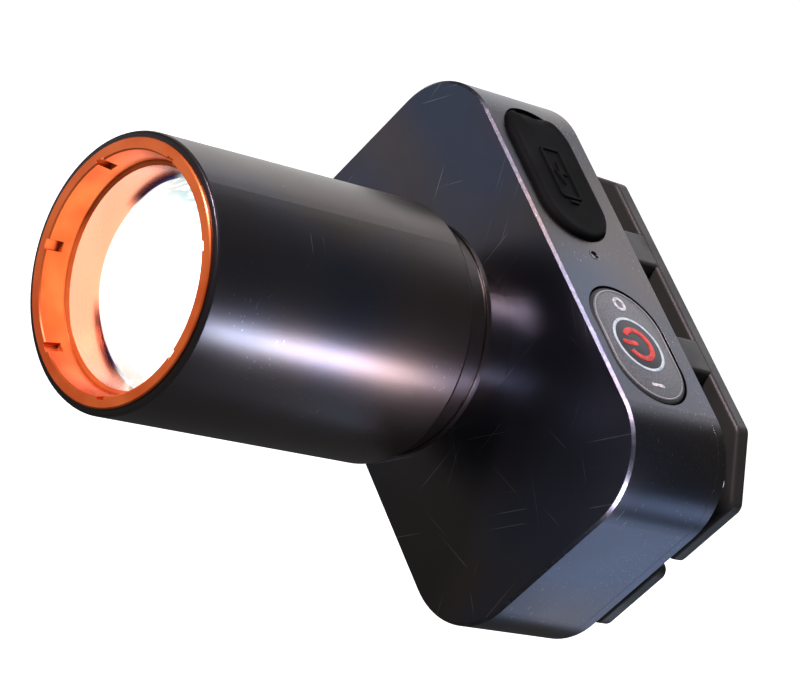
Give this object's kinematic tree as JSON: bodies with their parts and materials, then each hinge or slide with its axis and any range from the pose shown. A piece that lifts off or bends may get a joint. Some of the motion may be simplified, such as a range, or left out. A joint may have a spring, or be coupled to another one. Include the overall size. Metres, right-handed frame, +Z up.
{
  "type": "cap lamp",
  "caption": "Shallow rounded lamp housing with a sliding focus barrel, orange lens ring, press button and port flap, tilting on a strap bracket.",
  "frame": {"origin": "centre of the flat rear face of the strap bracket, the face towards the head", "axes": "+Y at right angles to that face, towards the head, so the beam leaves along -Y; +Z up, with the button and port on the top face; +X towards the button end"},
  "size_m": [0.066, 0.0811, 0.041],
  "materials": {
    "anodised_shell": "satin gunmetal anodising",
    "anodised_barrel": "satin gunmetal anodising",
    "anodised_stem": "satin black anodising",
    "orange_ring": "bright orange anodising",
    "bracket_plastic": "satin moulded",
    "black_rubber": "matt",
    "button_skin": "satin",
    "smoked_window": "polished",
    "clear_plastic": "clear",
    "lens_glass": "polished",
    "steel": "plain",
    "nickel": "plated",
    "board_green": "solder mask",
    "switch_black": "moulded",
    "pouch_foil": "foil",
    "wire_insulation": "soft",
    "white_plastic": "matt",
    "led_phosphor": "silicone dome",
    "bare_aluminium": "machined"
  },
  "bodies": {
    "bracket": {"bracket_plate": "bracket_plastic", "rest_pads": "black_rubber", "hinge_pin": "steel", "tilt_washers": "steel"},
    "lamp": {"housing": "anodised_shell", "back_cover": "anodised_shell", "cover_screws": "steel", "cover_gasket": "black_rubber", "tact_switch": "switch_black", "tether_anchor": "black_rubber", "light_pipe": "clear_plastic", "charge_light": "clear_plastic", "circuit_board": "board_green", "board_screws": "steel", "usb_socket": "nickel", "battery": "pouch_foil", "battery_tabs": "nickel", "stem": "anodised_stem", "neck_seal": "black_rubber", "lock_nut": "steel", "slide_seal": "black_rubber", "stop_clip": "steel", "led_board": "bare_aluminium", "led_screws": "steel", "led_emitter": "led_phosphor", "emitter_spacer": "white_plastic", "lamp_wires": "wire_insulation"},
    "button": {"button_pad": "button_skin", "button_window": "smoked_window", "switch_plunger": "switch_black"},
    "port_cover": {"port_cover": "black_rubber"},
    "barrel": {"barrel": "anodised_barrel", "lens_seal": "black_rubber", "lens": "lens_glass", "lens_ring": "orange_ring"}
  },
  "joints": [
    {"name": "tilt", "type": "hinge", "parent": "bracket", "child": "lamp", "pos_m": [0, -0.0065, -0.0146], "axis": [1, 0, 0], "range_deg": [0, 60]},
    {"name": "focus", "type": "slide", "parent": "lamp", "child": "barrel", "axis": [0, -1, 0], "range_m": [-0.0045, 0.006]},
    {"name": "button_press", "type": "slide", "parent": "lamp", "child": "button", "axis": [0, 0, -1], "range_m": [0, 0.0005], "stiffness_N_per_m": 300, "springref_m": -0.0005},
    {"name": "port_flap", "type": "hinge", "parent": "lamp", "child": "port_cover", "pos_m": [-0.003, -0.0202, 0.02185], "axis": [0, 1, 0], "range_deg": [0, 100], "stiffness_Nm_per_rad": 0.001}
  ]
}
